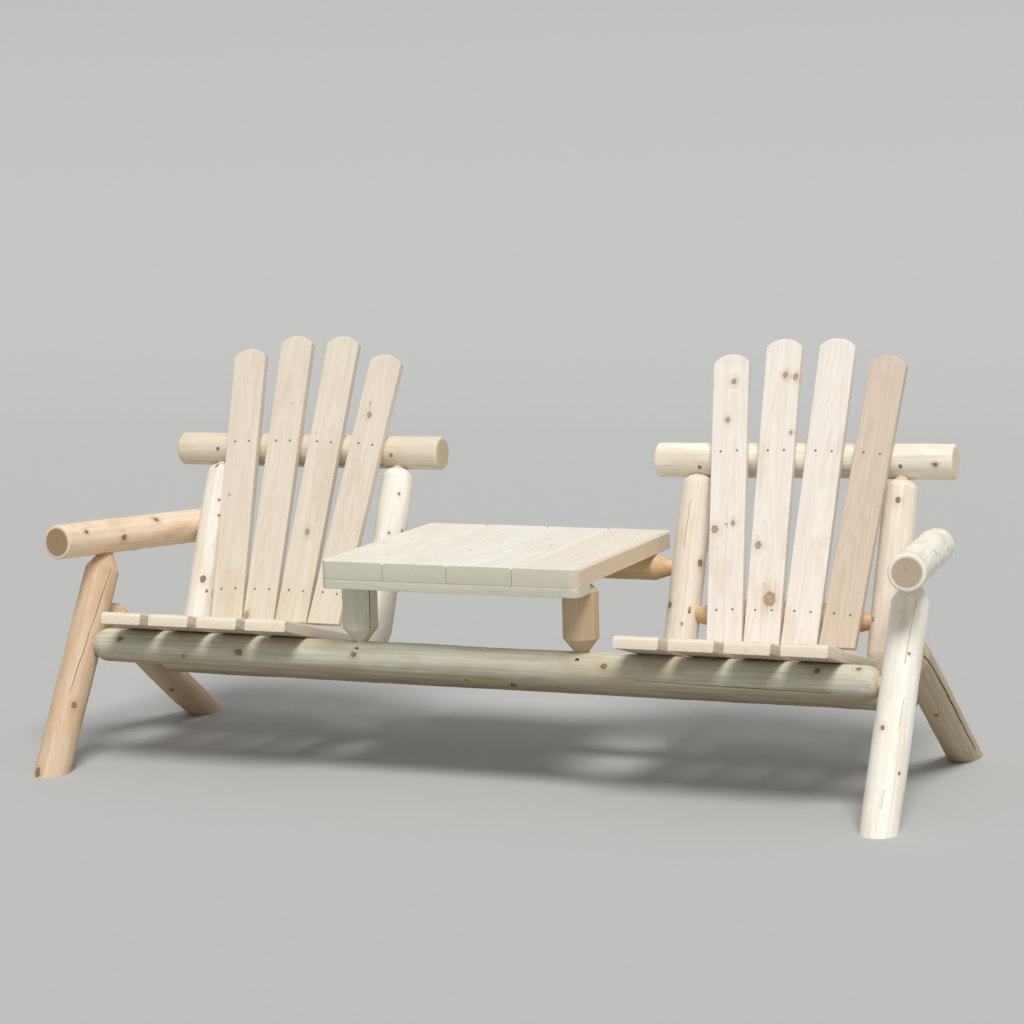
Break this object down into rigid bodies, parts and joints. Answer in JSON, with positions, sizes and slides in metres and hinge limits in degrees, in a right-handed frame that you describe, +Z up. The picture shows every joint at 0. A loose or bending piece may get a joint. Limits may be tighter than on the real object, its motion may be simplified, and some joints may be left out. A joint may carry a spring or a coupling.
{
  "type": "garden bench",
  "caption": "Log garden bench: two slatted reclining seats side by side on shared rails, with a board table between them.",
  "frame": {"origin": "on the ground under the middle of the bench", "axes": "+X to the right of someone who looks at the front, +Y from front to back, +Z up"},
  "size_m": [2.0086, 0.7952, 0.9051],
  "materials": {
    "cream_log": "peeled and sanded, unfinished",
    "tan_log": "peeled and sanded, unfinished",
    "slat": "planed",
    "board": "planed",
    "steel": "zinc plated"
  },
  "bodies": {
    "root": {"front_rail": "cream_log", "rear_rail": "cream_log", "front_leg_left": "tan_log", "rear_leg_left": "cream_log", "armrest_left": "tan_log", "front_leg_right": "cream_log", "rear_leg_right": "cream_log", "armrest_right": "cream_log", "back_post_left_outer": "cream_log", "back_post_left_inner": "cream_log", "top_rail_left": "cream_log", "lower_back_rail_left": "cream_log", "slat_left_1": "slat", "slat_left_2": "slat", "slat_left_3": "slat", "slat_left_4": "slat", "seat_board_left_1": "board", "seat_board_left_2": "board", "seat_board_left_3": "board", "seat_board_left_4": "board", "back_post_right_outer": "cream_log", "back_post_right_inner": "cream_log", "top_rail_right": "cream_log", "lower_back_rail_right": "cream_log", "slat_right_1": "slat", "slat_right_2": "slat", "slat_right_3": "slat", "slat_right_4": "slat", "seat_board_right_1": "board", "seat_board_right_2": "board", "seat_board_right_3": "board", "seat_board_right_4": "board", "table_board_1": "board", "table_board_2": "board", "table_board_3": "board", "table_board_4": "board", "table_cleat": "board", "table_post_left": "cream_log", "table_post_right": "cream_log", "table_cross_rail": "cream_log", "top_rail_screw_left_outer": "steel", "lower_rail_screw_left_outer": "steel", "top_rail_screw_left_inner": "steel", "lower_rail_screw_left_inner": "steel", "table_post_screw_left": "steel", "arm_leg_screw_left": "steel", "arm_post_lag_screw_left": "steel", "top_rail_screw_right_outer": "steel", "lower_rail_screw_right_outer": "steel", "top_rail_screw_right_inner": "steel", "lower_rail_screw_right_inner": "steel", "table_post_screw_right": "steel", "arm_leg_screw_right": "steel", "arm_post_lag_screw_right": "steel"}
  },
  "joints": []
}
